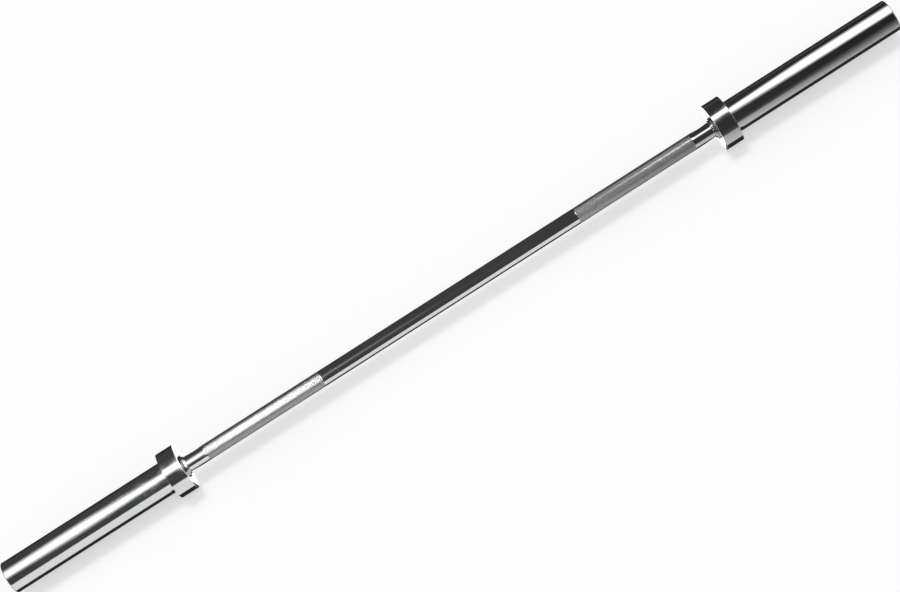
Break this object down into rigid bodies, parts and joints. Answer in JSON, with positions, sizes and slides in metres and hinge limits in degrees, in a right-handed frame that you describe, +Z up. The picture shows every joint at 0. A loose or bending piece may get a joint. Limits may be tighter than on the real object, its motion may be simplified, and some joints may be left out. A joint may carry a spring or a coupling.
{
  "type": "olympic barbell",
  "caption": "Short chrome barbell with a knurled solid shaft and free-spinning sleeves that take weight plates against fixed ring collars.",
  "frame": {"origin": "middle of the shaft, on its axis", "axes": "+X along the bar, from the left sleeve to the right sleeve; +Z up when the bar lies on the floor"},
  "size_m": [1.524, 0.074, 0.074],
  "materials": {
    "shaft_chrome": "bright chrome plate, satin on the knurled grips",
    "sleeve_chrome": "bright chrome plate with fine handling marks",
    "bronze": "oiled sintered bronze",
    "washer_steel": "bright zinc-plated steel",
    "spring_steel": "grey spring steel, satin",
    "screw_black": "black oxide, satin"
  },
  "bodies": {
    "shaft_assembly": {"shaft": "shaft_chrome", "left_thrust_washer": "washer_steel", "left_snap_ring": "spring_steel", "left_bronze_washer": "bronze", "left_retaining_washer": "washer_steel", "left_lock_washer": "spring_steel", "left_end_screw": "screw_black", "right_thrust_washer": "washer_steel", "right_snap_ring": "spring_steel", "right_bronze_washer": "bronze", "right_retaining_washer": "washer_steel", "right_lock_washer": "spring_steel", "right_end_screw": "screw_black"},
    "left_sleeve_assembly": {"left_sleeve": "sleeve_chrome", "left_collar": "sleeve_chrome", "left_inner_bush": "bronze", "left_outer_bush": "bronze"},
    "right_sleeve_assembly": {"right_sleeve": "sleeve_chrome", "right_collar": "sleeve_chrome", "right_inner_bush": "bronze", "right_outer_bush": "bronze"}
  },
  "joints": [
    {"name": "left_sleeve_spin", "type": "hinge", "parent": "shaft_assembly", "child": "left_sleeve_assembly", "pos_m": [-0.6095, 0, 0], "axis": [1, 0, 0], "continuous": true},
    {"name": "right_sleeve_spin", "type": "hinge", "parent": "shaft_assembly", "child": "right_sleeve_assembly", "pos_m": [0.6095, 0, 0], "axis": [1, 0, 0], "continuous": true}
  ]
}
